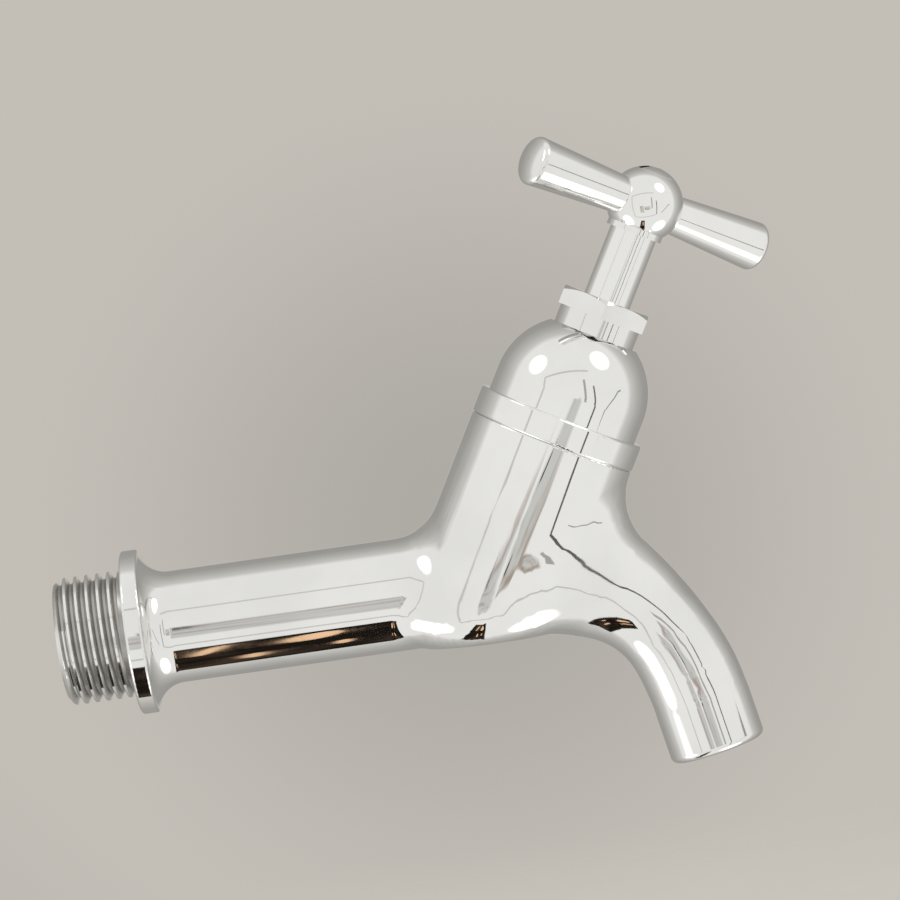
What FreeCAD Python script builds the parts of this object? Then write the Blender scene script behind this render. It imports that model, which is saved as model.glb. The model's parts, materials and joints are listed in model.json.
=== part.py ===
# Long bodied bib tap with a leaning spindle and a T handle, in millimetres.
# X runs out of the wall along the inlet, Z is up in use.
# The origin is the centre of the flange's wall face.
import FreeCAD, Part
import Sketcher
import math
import os
import re

dimensions = {
    # inlet: threaded spigot, flange and barrel
    "thread_diameter": 20.955,
    "spigot_length": 11.5,
    "spigot_chamfer": 0.9,
    "relief_diameter": 18.6,
    "relief_length": 2.1,
    "inlet_bore": 13.0,
    "bore_chamfer": 0.7,
    "flange_diameter": 27.0,
    "flange_rim": 2.9,
    "flange_edge": 0.5,
    "flare_length": 4.5,
    "flare_lip": 0.8,
    "barrel_diameter": 18.4,
    # valve chamber, leaning forward over the end of the barrel
    "spindle_reach": 60.4,
    "spindle_lean": 29.5,
    "rim_height": 24.6,
    "chamber_diameter": 27.7,
    "belly_depth": 9.45,
    "belly_slope": 0.5,
    "belly_edge": 5.5,
    "rim_edge": 0.3,
    "barrel_crease": 8.5,
    "spout_crease": 10,
    # spout: a tapering horn from the chamber to a short straight tip
    "root_offset": 8.4,
    "root_rise": 1.4,
    "root_pitch": 17.2,
    "root_pull": 16.9,
    "root_width": 26.8,
    "root_depth": 23.3,
    "throat_width": 16.2,
    "throat_depth": 15.4,
    "outlet_throw": 32.0,
    "outlet_drop": 32.3,
    "outlet_pitch": 79,
    "outlet_pull": 8.5,
    "tip_length": 8.0,
    "spout_diameter": 15.9,
    "spout_edge": 1.2,
    "spout_bore": 11.8,
    "throat_bore": 11.0,
    "port_bore": 8.8,
    "port_rise": 3.5,
    "port_setback": 2.4,
    # inside of the chamber, measured down from its rim
    "bonnet_thread": 22.0,
    "neck_depth": 9.4,
    "cavity_diameter": 20.8,
    "seat_depth": 15.5,
    "seat_stand": 1.5,
    "seat_height": 4.0,
    "seat_diameter": 15.2,
    "seat_hole": 11.0,
    "well_depth": 27.0,
    "gasket_outer": 25.0,
    "gasket_thickness": 1.2,
    # bonnet
    "ring_diameter": 27.9,
    "ring_height": 4.5,
    "ring_edge": 0.4,
    "dome_diameter": 25.4,
    "dome_centre": 8.3,
    "dome_mouth": 15.0,
    "skirt_length": 9.0,
    "skirt_wall": 2.5,
    "web_thickness": 1.5,
    # stem sealing
    "box_diameter": 13.8,
    "packing_height": 3.8,
    "packing_bevel": 0.8,
    "washer_thickness": 1.2,
    "collar_height": 3.0,
    "gland_flats": 14.5,
    "gland_height": 3.1,
    "gland_chamfer": 0.5,
    # spindle and the jumper valve under it
    "stem_diameter": 7.9,
    "screw_diameter": 11.8,
    "screw_length": 11.8,
    "screw_chamfer": 0.8,
    "stem_show": 11.7,
    "tang_flats": 5.0,
    "tang_height": 2.9,
    "valve_travel": 6.25,
    "jumper_diameter": 14.8,
    "jumper_thickness": 2.2,
    "jumper_stem": 4.8,
    "jumper_stem_length": 8.3,
    "rubber_inset": 0.3,
    "rubber_thickness": 3.0,
    "stud_diameter": 4.0,
    "stud_show": 1.0,
    "stud_nut_flats": 7.0,
    "stud_nut_height": 2.2,
    # handle
    "handle_angle": 31,
    "ball_diameter": 12.5,
    "ball_rise": 5.1,
    "boss_diameter": 9.4,
    "arm_seat": 5.3,
    "arm_root": 6.4,
    "arm_tip": 8.2,
    "arm_reach": 23.6,
    "arm_crown": 0.9,
    "arm_edge": 0.9,
    "arm_stud_length": 2.2,
    "screw_head": 6.8,
    "screw_head_height": 1.9,
    "screw_grip": 5.0,
    "slot_width": 1.0,
    "slot_depth": 1.7,
    # clearances on the radius
    "thread_clearance": 0.05,
    "running_clearance": 0.05,
    "lift_clearance": 0.45,
}

doc = FreeCAD.newDocument("bib_tap")
sheet = doc.addObject("Spreadsheet::Sheet", "Dimensions")
for row, (alias, value) in enumerate(dimensions.items(), start=1):
    sheet.set(f"A{row}", alias)
    sheet.set(f"B{row}", str(value))
    sheet.setAlias(f"B{row}", alias)
doc.recompute()

# Places that several pieces share, worked out from the sheet
rim_x = "(spindle_reach + rim_height * sin(spindle_lean))"
rim_z = "(rim_height * cos(spindle_lean))"
seat_plane = "(-seat_depth)"
cavity_floor = "(-seat_depth - seat_stand)"
jumper_top = "(-seat_depth + rubber_thickness + jumper_thickness)"
screw_top = f"({jumper_top} + screw_length)"
web_bottom = f"({screw_top} + valve_travel + lift_clearance)"
box_floor = f"({web_bottom} + web_thickness)"
dome_top = "(dome_centre + sqrt(pow(dome_diameter / 2; 2) - pow(dome_mouth / 2; 2)))"
packing_top = f"({box_floor} + packing_height)"
gland_bottom = f"({packing_top} + washer_thickness)"
hex_bottom = f"({dome_top} + collar_height)"
hex_top = f"({hex_bottom} + gland_height)"
hub_bottom = f"({hex_top} + stem_show)"
ball_centre = f"({hub_bottom} + ball_rise)"
tang_top = f"({hub_bottom} + tang_height)"
ball_top = f"({ball_centre} + ball_diameter / 2)"
head_rim = f"({ball_centre} + sqrt(pow(ball_diameter / 2; 2) - pow(screw_head / 2; 2)))"
head_seat = f"({head_rim} - screw_head_height)"
stem_bore = "(stem_diameter / 2 + running_clearance)"


def linked(text):
    """The expression with each sheet alias given its full name."""
    named = lambda word: "Dimensions." + word[0] if word[0] in dimensions else word[0]
    return re.sub(r"[a-z_]+", named, text)


def number(text):
    result = sheet.evalExpression(linked(text))
    return float(getattr(result, "Value", result))


def bind(item, prop, text):
    item.setExpression(prop, linked(text))


def new_body(label, on_spindle=True):
    body = doc.addObject("PartDesign::Body", label)
    body.Label = label
    if on_spindle:
        # pieces on the spindle are drawn upright, with height 0 at the chamber's rim
        body.Placement.Rotation = FreeCAD.Rotation(FreeCAD.Vector(0, 1, 0), 1)
        bind(body, "Placement.Base.x", rim_x)
        bind(body, "Placement.Base.z", rim_z)
        bind(body, "Placement.Rotation.Angle", "spindle_lean")
    return body


def new_sketch(body, name, plane, place=None, axis=None, angle=None):
    """A sketch on one of the body's own planes, moved and turned in that plane's axes by bound offsets."""
    sketch = body.newObject("Sketcher::SketchObject", name)
    support = next(item for item in body.Origin.OriginFeatures if item.Role == plane)
    sketch.AttachmentSupport = (support, [""])
    sketch.MapMode = "FlatFace"
    if axis:
        turn = FreeCAD.Rotation(FreeCAD.Vector(*axis), 1)
        sketch.AttachmentOffset = FreeCAD.Placement(FreeCAD.Vector(), turn)
        bind(sketch, "AttachmentOffset.Rotation.Angle", angle)
    for letter, text in (place or {}).items():
        bind(sketch, f"AttachmentOffset.Base.{letter}", text)
    return sketch


def hold(sketch, geometry, point, x, y):
    """Ties a point of the sketch to its bound distances from the sketch's origin."""
    for kind, axis, text in (("DistanceX", -2, x), ("DistanceY", -1, y)):
        if text is None:
            continue
        if text == "0":
            sketch.addConstraint(Sketcher.Constraint("PointOnObject", geometry, point, axis))
            continue
        made = sketch.addConstraint(Sketcher.Constraint(kind, -1, 1, geometry, point, number(text)))
        sketch.setExpression(f"Constraints[{made}]", linked(text))


def draw_outline(sketch, corners):
    """A closed outline. A corner is (x, y), or (x, y, centre x, centre y) if an arc leads to it.

    The one coordinate of an arc's end that follows from its centre is given as None.
    """
    places = []
    for corner in corners:
        x, y = (None if text is None else number(text) for text in corner[:2])
        if None in (x, y):
            centre = FreeCAD.Vector(number(corner[2]), number(corner[3]), 0)
            radius = (places[-1] - centre).Length
            if x is None:
                reach = math.sqrt(radius**2 - (y - centre.y) ** 2)
                x = centre.x + math.copysign(reach, places[-1].x - centre.x)
            else:
                reach = math.sqrt(radius**2 - (x - centre.x) ** 2)
                y = centre.y + math.copysign(reach, places[-1].y - centre.y)
        places.append(FreeCAD.Vector(x, y, 0))
    ends = []
    for index, start in enumerate(places):
        following = (index + 1) % len(places)
        end = places[following]
        if len(corners[following]) == 2:
            made = sketch.addGeometry(Part.LineSegment(start, end))
            ends.append((made, 1, 2))
            continue
        centre = FreeCAD.Vector(number(corners[following][2]), number(corners[following][3]), 0)
        circle = Part.Circle(centre, FreeCAD.Vector(0, 0, 1), (start - centre).Length)
        forward = ((start - centre).cross(end - centre)).z > 0
        first, last = (start, end) if forward else (end, start)
        arc = Part.ArcOfCircle(circle, circle.parameter(first), circle.parameter(last))
        made = sketch.addGeometry(arc)
        ends.append((made, 1, 2) if forward else (made, 2, 1))
        hold(sketch, made, 3, corners[following][2], corners[following][3])
    for index, (made, _, last) in enumerate(ends):
        following, first, _ = ends[(index + 1) % len(ends)]
        sketch.addConstraint(Sketcher.Constraint("Coincident", made, last, following, first))
    for (made, first, _), corner in zip(ends, corners):
        hold(sketch, made, first, corner[0], corner[1])


def draw_circle(sketch, diameter, x="0", y="0"):
    centre = FreeCAD.Vector(number(x), number(y), 0)
    made = sketch.addGeometry(Part.Circle(centre, FreeCAD.Vector(0, 0, 1), number(diameter) / 2))
    hold(sketch, made, 3, x, y)
    size = sketch.addConstraint(Sketcher.Constraint("Diameter", made, number(diameter)))
    sketch.setExpression(f"Constraints[{size}]", linked(diameter))


def draw_ellipse(sketch, width, depth):
    """An ellipse about the sketch's origin, its width along the sketch's x and its depth along y."""
    across = FreeCAD.Vector(number(width) / 2, 0, 0)
    upright = FreeCAD.Vector(0, number(depth) / 2, 0)
    wide = across.Length >= upright.Length
    long_end, short_end = (across, upright) if wide else (upright, -across)
    made = sketch.addGeometry(Part.Ellipse(long_end, short_end, FreeCAD.Vector(0, 0, 0)))
    sketch.exposeInternalGeometry(made)
    sketch.addConstraint(Sketcher.Constraint("Coincident", made, 3, -1, 1))
    long_axis, short_axis = made + 1, made + 2
    sketch.addConstraint(Sketcher.Constraint("Horizontal" if wide else "Vertical", long_axis))
    sizes = (width, depth) if wide else (depth, width)
    for line, text in zip((long_axis, short_axis), sizes):
        size = sketch.addConstraint(Sketcher.Constraint("Distance", line, number(text)))
        sketch.setExpression(f"Constraints[{size}]", linked(text))


def regular_corners(flats, sides):
    """Corners of a regular polygon as bound expressions of its width across flats; a flat faces +X."""
    step = 360 / sides
    radius = f"{flats} / 2 / cos({step / 2})"
    angles = [step / 2 + step * index for index in range(sides)]
    return [(f"{radius} * cos({angle})", f"{radius} * sin({angle})") for angle in angles]


def add_feature(body, kind, name, sketch, axis=None):
    feature = body.newObject(f"PartDesign::{kind}", name)
    feature.Profile = sketch
    if axis:
        feature.ReferenceAxis = (sketch, [axis])
        feature.Angle = 360
    return feature


def add_prism(body, kind, name, sketch, length, reverse=False):
    feature = add_feature(body, kind, name, sketch)
    feature.Reversed = reverse
    bind(feature, "Length", length)
    return feature


def edges_where(feature, test):
    shape = feature.Shape
    return [f"Edge{index}" for index, edge in enumerate(shape.Edges, start=1) if test(edge, shape)]


def round_edges(body, name, size, test):
    """Rounds the edges of the body's latest feature that pass the test."""
    doc.recompute()
    base = body.Tip
    feature = body.newObject("PartDesign::Fillet", name)
    feature.Base = (base, edges_where(base, test))
    bind(feature, "Radius", size)
    return feature


def circle_of(edge):
    """The edge's circle, or None. An edge shrunk to a ball's pole has no curve at all."""
    if edge.Degenerated or not isinstance(edge.Curve, Part.Circle):
        return None
    return edge.Curve


def circle_edge(radius, place, direction):
    """Tests for full circles of a radius, by their centre and axis in the body's own frame."""

    def test(edge, shape):
        circle = circle_of(edge)
        if circle is None or abs(circle.Axis.dot(direction)) < 0.999:
            return False
        return (circle.Center - place).Length < 0.01 and abs(circle.Radius - number(radius)) < 0.01

    return test


def level_edge(radius, height):
    return circle_edge(radius, FreeCAD.Vector(0, 0, number(height)), FreeCAD.Vector(0, 0, 1))


def turned_piece(label, corners):
    """A piece turned about the spindle, from its half section of (radius, height) corners."""
    body = new_body(label)
    sketch = new_sketch(body, f"{label}_section", "XZ_Plane")
    draw_outline(sketch, corners)
    add_feature(body, "Revolution", f"{label}_turned", sketch, "V_Axis")
    return body


def plain_ring(label, inner, outer, bottom, top):
    return turned_piece(label, [(inner, bottom), (outer, bottom), (outer, top), (inner, top)])


# Spout centre line: one cubic from the chamber to the straight tip, and its sections
root_reach = "(spindle_reach + root_offset)"
outlet_reach = "(spindle_reach + outlet_throw)"
tip_x = f"({outlet_reach} - tip_length * cos(outlet_pitch))"
tip_z = "(-outlet_drop + tip_length * sin(outlet_pitch))"
spout_controls = [
    (root_reach, "root_rise"),
    (f"({root_reach} + root_pull * cos(root_pitch))", "(root_rise - root_pull * sin(root_pitch))"),
    (f"({tip_x} - outlet_pull * cos(outlet_pitch))", f"({tip_z} + outlet_pull * sin(outlet_pitch))"),
    (tip_x, tip_z),
]
# the horn starts inside the chamber, a little behind the curve's first point
horn_start = -0.1
throat_share = 0.54
section_shares = (horn_start, 0.06, 0.2, 0.36, throat_share, 0.7, 0.85, 1.0)


def weighted(weights, texts):
    return "(" + " + ".join(f"{weight:.6f} * {text}" for weight, text in zip(weights, texts)) + ")"


def spout_place(share):
    """Bound x, z and downward pitch of the spout's centre line at a share of its length."""
    rest = 1 - share
    weights = (rest**3, 3 * rest**2 * share, 3 * rest * share**2, share**3)
    slopes = (-(rest**2), rest**2 - 2 * rest * share, 2 * rest * share - share**2, share**2)
    along, up = zip(*spout_controls)
    pitch = f"atan2(-{weighted(slopes, up)}; {weighted(slopes, along)})"
    return weighted(weights, along), weighted(weights, up), pitch


def eased(share, first, second):
    """A size that eases from its first value to its second as the share goes from 0 to 1."""
    ease = share * share * (3 - 2 * share)
    return weighted((1 - ease, ease), (first, second))


def cross_sketch(body, name, place):
    """A sketch square to the waterway at a place, with its x across the tap and its y up."""
    x, z, pitch = place
    return new_sketch(body, name, "YZ_Plane", {"y": z, "z": x}, (1, 0, 0), pitch)


def spout_outside(body):
    sections = []
    for index, share in enumerate(section_shares):
        sketch = cross_sketch(body, f"spout_section_{index}", spout_place(share))
        if share < throat_share:
            portion = (share - horn_start) / (throat_share - horn_start)
            draw_ellipse(
                sketch,
                eased(portion, "root_width", "throat_width"),
                eased(portion, "root_depth", "throat_depth"),
            )
        elif share < 1:
            portion = (share - throat_share) / (1 - throat_share)
            draw_ellipse(
                sketch,
                eased(portion, "throat_width", "spout_diameter"),
                eased(portion, "throat_depth", "spout_diameter"),
            )
        else:
            draw_circle(sketch, "spout_diameter")
        sections.append(sketch)
    horn = add_feature(body, "AdditiveLoft", "spout_horn", sections[0])
    horn.Sections = sections[1:]
    tip = cross_sketch(body, "tip_circle", spout_place(1.0))
    draw_circle(tip, "spout_diameter")
    add_prism(body, "Pad", "spout_tip", tip, "tip_length")


def spindle_point(radius, height):
    """X and Z of a point in front of the spindle, by its distance from it and height above the rim."""
    x = f"({rim_x} + {radius} * cos(spindle_lean) + ({height}) * sin(spindle_lean))"
    z = f"({rim_z} - {radius} * sin(spindle_lean) + ({height}) * cos(spindle_lean))"
    return x, z


def spout_waterway(body):
    """The passage from the front of the valve cavity, over the seat's rim, down to the mouth."""
    port_height = f"({seat_plane} + port_rise)"
    gate = (*spindle_point("cavity_diameter / 8", port_height), "spindle_lean")
    turn = (
        *spindle_point("(cavity_diameter / 2 + port_setback)", f"({port_height} - port_bore / 6)"),
        "(spindle_lean + outlet_pitch) / 2",
    )
    stations = [
        (gate, "port_bore"),
        (turn, "(port_bore + throat_bore) / 2"),
        (spout_place(throat_share), "throat_bore"),
    ]
    for share in section_shares:
        if share > throat_share:
            portion = (share - throat_share) / (1 - throat_share)
            stations.append((spout_place(share), eased(portion, "throat_bore", "spout_bore")))
    sections = []
    for index, (place, diameter) in enumerate(stations):
        sketch = cross_sketch(body, f"waterway_section_{index}", place)
        draw_circle(sketch, diameter)
        sections.append(sketch)
    passage = add_feature(body, "SubtractiveLoft", "spout_waterway", sections[0])
    passage.Sections = sections[1:]
    mouth = cross_sketch(body, "mouth_circle", spout_place(1.0))
    draw_circle(mouth, "spout_bore")
    add_prism(body, "Pocket", "spout_mouth", mouth, "tip_length", reverse=True)


# faces that meet under this many degrees count as smooth
sharp_angle = 5


def crease_angle(shape, edge):
    """The angle between the two faces that meet along an edge, at its middle."""
    middle = edge.valueAt((edge.FirstParameter + edge.LastParameter) / 2)
    owners = [face for face in shape.Faces if any(item.isSame(edge) for item in face.Edges)]
    if len(owners) != 2:
        return 0.0
    normals = [face.normalAt(*face.Surface.parameter(middle)) for face in owners]
    return math.degrees(normals[0].getAngle(normals[1]))


def crease_between(low, high):
    """Tests for the sharp inner edges between two x values, below the middle of the chamber's neck."""
    left, right, top = number(low), number(high), number(rim_z) / 2

    def test(edge, shape):
        place = edge.CenterOfMass
        return left < place.x < right and place.z < top and crease_angle(shape, edge) > sharp_angle

    return test


def chamber_outside(body):
    """A leaning cylinder with a flat belly, rounded where its wall turns under."""
    place = {"x": rim_x, "z": rim_z}
    rim = new_sketch(body, "chamber_circle", "XY_Plane", place, (0, 1, 0), "spindle_lean")
    draw_circle(rim, "chamber_diameter")
    length = "rim_height + (belly_depth + chamber_diameter / 2) / cos(spindle_lean)"
    add_prism(body, "Pad", "chamber", rim, length, reverse=True)
    below = new_sketch(body, "belly_cut", "XZ_Plane")
    back = "(spindle_reach - 2 * chamber_diameter)"
    front = "(spindle_reach + chamber_diameter)"
    back_floor = "(-belly_depth + 2 * chamber_diameter * tan(belly_slope))"
    front_floor = "(-belly_depth - chamber_diameter * tan(belly_slope))"
    deep = "(-belly_depth - rim_height)"
    draw_outline(below, [(back, back_floor), (front, front_floor), (front, deep), (back, deep)])
    belly = add_feature(body, "Pocket", "belly", below)
    belly.Type = "ThroughAll"
    belly.Midplane = True
    slope = math.tan(math.radians(number("belly_slope")))

    def belly_edge(edge, shape):
        place = edge.CenterOfMass
        floor = -number("belly_depth") - (place.x - number("spindle_reach")) * slope
        return abs(place.z - floor) < 0.01

    round_edges(body, "belly_rounding", "belly_edge", belly_edge)


def inlet_outside(body):
    """Spigot, flange with its hollow flare, and the barrel, turned about X."""
    section = new_sketch(body, "inlet_section", "XZ_Plane")
    flare_end = "(flange_rim + flare_length)"
    flare_height = "(flange_diameter / 2 - flare_lip - barrel_diameter / 2)"
    flare_radius = f"((pow(flare_length; 2) + pow({flare_height}; 2)) / 2 / {flare_height})"
    draw_outline(
        section,
        [
            ("spindle_reach", "0"),
            ("spindle_reach", "barrel_diameter / 2"),
            (flare_end, "barrel_diameter / 2"),
            ("flange_rim", None, flare_end, f"(barrel_diameter / 2 + {flare_radius})"),
            ("flange_rim", "flange_diameter / 2"),
            ("0", "flange_diameter / 2"),
            ("0", "relief_diameter / 2"),
            ("-relief_length", "relief_diameter / 2"),
            ("-relief_length", "thread_diameter / 2"),
            ("-spigot_length + spigot_chamfer", "thread_diameter / 2"),
            ("-spigot_length", "thread_diameter / 2 - spigot_chamfer"),
            ("-spigot_length", "0"),
        ],
    )
    add_feature(body, "Revolution", "inlet", section, "H_Axis")


def valve_cavity(body):
    """The bored neck, the cavity over the partition, the seat's pocket and the well under it."""
    place = {"x": rim_x, "y": rim_z}
    section = new_sketch(body, "cavity_section", "XZ_Plane", place, (0, 0, -1), "spindle_lean")
    seat_bottom = "(-seat_depth - seat_height)"
    draw_outline(
        section,
        [
            ("0", "0"),
            ("gasket_outer / 2", "0"),
            ("gasket_outer / 2", "-gasket_thickness"),
            ("bonnet_thread / 2", "-gasket_thickness"),
            ("bonnet_thread / 2", "-neck_depth"),
            ("cavity_diameter / 2", "-neck_depth"),
            ("cavity_diameter / 2", cavity_floor),
            ("seat_diameter / 2", cavity_floor),
            ("seat_diameter / 2", seat_bottom),
            ("seat_hole / 2", seat_bottom),
            ("seat_hole / 2", "-well_depth"),
            ("0", "-well_depth - seat_hole / 4"),
        ],
    )
    add_feature(body, "Groove", "cavity", section, "V_Axis")


def inlet_waterway(body):
    section = new_sketch(body, "bore_section", "XZ_Plane")
    draw_outline(
        section,
        [
            ("-spigot_length", "0"),
            ("-spigot_length", "inlet_bore / 2 + bore_chamfer"),
            ("-spigot_length + bore_chamfer", "inlet_bore / 2"),
            ("spindle_reach - inlet_bore / 3", "inlet_bore / 2"),
            ("spindle_reach + inlet_bore / 6", "0"),
        ],
    )
    add_feature(body, "Groove", "inlet_waterway", section, "H_Axis")


def tap_body():
    """The casting: spigot, flange, barrel, leaning chamber and spout, cored for the water."""
    body = new_body("tap_body", on_spindle=False)
    chamber_outside(body)
    inlet_outside(body)
    spout_outside(body)
    round_edges(
        body,
        "barrel_blend",
        "barrel_crease",
        crease_between("spindle_reach - chamber_diameter", "spindle_reach"),
    )
    under_spout = crease_between("spindle_reach", f"{tip_x} - spout_diameter / 4")
    round_edges(body, "spout_blend", "spout_crease", under_spout)
    valve_cavity(body)
    inlet_waterway(body)
    spout_waterway(body)

    along = FreeCAD.Vector(1, 0, 0)
    wall_side = circle_edge("flange_diameter / 2", FreeCAD.Vector(0, 0, 0), along)
    tap_side = circle_edge("flange_diameter / 2", FreeCAD.Vector(number("flange_rim"), 0, 0), along)
    either = lambda edge, shape: wall_side(edge, shape) or tap_side(edge, shape)
    round_edges(body, "flange_rounding", "flange_edge", either)
    outlet = FreeCAD.Vector(number(outlet_reach), 0, -number("outlet_drop"))
    pitch = math.radians(number("outlet_pitch"))
    pour = FreeCAD.Vector(math.cos(pitch), 0, -math.sin(pitch))
    round_edges(body, "spout_rounding", "spout_edge", circle_edge("spout_diameter / 2", outlet, pour))
    rim = FreeCAD.Vector(number(rim_x), 0, number(rim_z))
    lean = math.radians(number("spindle_lean"))
    rise = FreeCAD.Vector(math.sin(lean), 0, math.cos(lean))
    round_edges(body, "rim_rounding", "rim_edge", circle_edge("chamber_diameter / 2", rim, rise))


def valve_seat():
    """A turned ring pressed into the partition, with a raised lip for the rubber."""
    outer = "(seat_diameter / 2 - thread_clearance)"
    bottom = "(-seat_depth - seat_height)"
    lip = "((seat_hole + seat_diameter) / 4)"
    turned_piece(
        "valve_seat",
        [
            ("seat_hole / 2", bottom),
            (outer, bottom),
            (outer, cavity_floor),
            (lip, seat_plane),
            ("seat_hole / 2", seat_plane),
        ],
    )


def bonnet_gasket():
    inner = "(bonnet_thread / 2 + thread_clearance)"
    plain_ring("bonnet_gasket", inner, "(gasket_outer / 2 - thread_clearance)", "-gasket_thickness", "0")


def bonnet():
    """Ring and dome outside; inside a threaded skirt, the spindle's screw, a web and the stuffing box."""
    skirt = "(bonnet_thread / 2 - thread_clearance)"
    recess = f"({skirt} - skirt_wall)"
    recess_top = f"({jumper_top} + valve_travel + lift_clearance)"
    screw_bore = "(screw_diameter / 2 + running_clearance)"
    body = turned_piece(
        "bonnet",
        [
            (recess, "-skirt_length"),
            (skirt, "-skirt_length"),
            (skirt, "0"),
            ("ring_diameter / 2", "0"),
            ("ring_diameter / 2", "ring_height"),
            ("dome_diameter / 2", "ring_height"),
            ("dome_diameter / 2", "dome_centre"),
            ("dome_mouth / 2", None, "0", "dome_centre"),
            ("box_diameter / 2", dome_top),
            ("box_diameter / 2", box_floor),
            (stem_bore, box_floor),
            (stem_bore, web_bottom),
            (screw_bore, web_bottom),
            (screw_bore, recess_top),
            (recess, recess_top),
        ],
    )
    bottom, top = level_edge("ring_diameter / 2", "0"), level_edge("ring_diameter / 2", "ring_height")
    either = lambda edge, shape: bottom(edge, shape) or top(edge, shape)
    round_edges(body, "ring_rounding", "ring_edge", either)


def stem_packing():
    outer = "(box_diameter / 2 - thread_clearance)"
    turned_piece(
        "stem_packing",
        [
            (stem_bore, box_floor),
            (outer, box_floor),
            (outer, f"({packing_top} - packing_bevel)"),
            (f"({outer} - packing_bevel)", packing_top),
            (stem_bore, packing_top),
        ],
    )


def packing_washer():
    outer = "(box_diameter / 2 - thread_clearance)"
    plain_ring("packing_washer", stem_bore, outer, packing_top, gland_bottom)


def gland_nut():
    """A hexagon on a round shank that screws down into the stuffing box."""
    shank = "(box_diameter / 2 - thread_clearance)"
    body = turned_piece(
        "gland_nut",
        [(stem_bore, gland_bottom), (shank, gland_bottom), (shank, hex_bottom), (stem_bore, hex_bottom)],
    )
    hexagon = new_sketch(body, "gland_hexagon", "XY_Plane", {"z": hex_bottom})
    draw_outline(hexagon, regular_corners("gland_flats", 6))
    draw_circle(hexagon, f"2 * {stem_bore}")
    add_prism(body, "Pad", "gland_head", hexagon, "gland_height")
    corner_cut = new_sketch(body, "gland_corner_cut", "XZ_Plane")
    cut_start = "(gland_flats / 2 - gland_chamfer / 4)"
    draw_outline(
        corner_cut,
        [
            (cut_start, hex_top),
            ("gland_flats", hex_top),
            ("gland_flats", f"({hex_top} - (gland_flats - {cut_start}) * tan(30))"),
        ],
    )
    add_feature(body, "Groove", "gland_corners", corner_cut, "V_Axis")


def jumper_valve():
    """The loose disc that the spindle pushes onto the seat, with a guide stem above and a stud below."""
    rubber_top = "(-seat_depth + rubber_thickness)"
    stud = "(stud_diameter / 2 - thread_clearance)"
    stud_end = "(-seat_depth - stud_nut_height - stud_show)"
    stem_top = f"({jumper_top} + jumper_stem_length)"
    turned_piece(
        "jumper_valve",
        [
            ("0", stud_end),
            (stud, stud_end),
            (stud, rubber_top),
            ("jumper_diameter / 2", rubber_top),
            ("jumper_diameter / 2", jumper_top),
            ("jumper_stem / 2", jumper_top),
            ("jumper_stem / 2", stem_top),
            ("0", stem_top),
        ],
    )


def jumper_washer():
    rubber_top = "(-seat_depth + rubber_thickness)"
    rubber_rim = "jumper_diameter / 2 - rubber_inset"
    plain_ring("jumper_washer", "stud_diameter / 2", rubber_rim, seat_plane, rubber_top)


def jumper_nut():
    body = new_body("jumper_nut")
    hexagon = new_sketch(body, "jumper_nut_hexagon", "XY_Plane", {"z": "(-seat_depth - stud_nut_height)"})
    draw_outline(hexagon, regular_corners("stud_nut_flats", 6))
    draw_circle(hexagon, "stud_diameter")
    add_prism(body, "Pad", "jumper_nut_prism", hexagon, "stud_nut_height")


def spindle():
    """Screw, stem and a square tang for the handle, bored below for the jumper and tapped above."""
    guide = "(jumper_stem / 2 + running_clearance)"
    guide_top = f"({jumper_top} + jumper_stem_length + lift_clearance)"
    body = turned_piece(
        "spindle",
        [
            (guide, jumper_top),
            ("screw_diameter / 2 - screw_chamfer", jumper_top),
            ("screw_diameter / 2", f"({jumper_top} + screw_chamfer)"),
            ("screw_diameter / 2", f"({screw_top} - screw_chamfer)"),
            ("screw_diameter / 2 - screw_chamfer", screw_top),
            ("stem_diameter / 2", screw_top),
            ("stem_diameter / 2", hub_bottom),
            ("0", hub_bottom),
            ("0", guide_top),
            (guide, guide_top),
        ],
    )
    square = new_sketch(body, "tang_square", "XY_Plane", {"z": hub_bottom}, (0, 0, 1), "handle_angle")
    draw_outline(square, regular_corners("tang_flats", 4))
    add_prism(body, "Pad", "tang", square, "tang_height")
    tapping = new_sketch(body, "tapped_circle", "XY_Plane", {"z": tang_top})
    draw_circle(tapping, "stud_diameter")
    add_prism(body, "Pocket", "tapped_hole", tapping, "(tang_height + screw_grip + lift_clearance)")


def arm_sketch(body, name, turn):
    """A sketch along one arm, with its x outward from the ball's centre and its y up the spindle."""
    return new_sketch(body, name, "XZ_Plane", {"y": ball_centre}, (0, 1, 0), f"handle_angle + {turn}")


arm_turns = {"handle_arm_front": 0, "handle_arm_back": 180}


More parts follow.
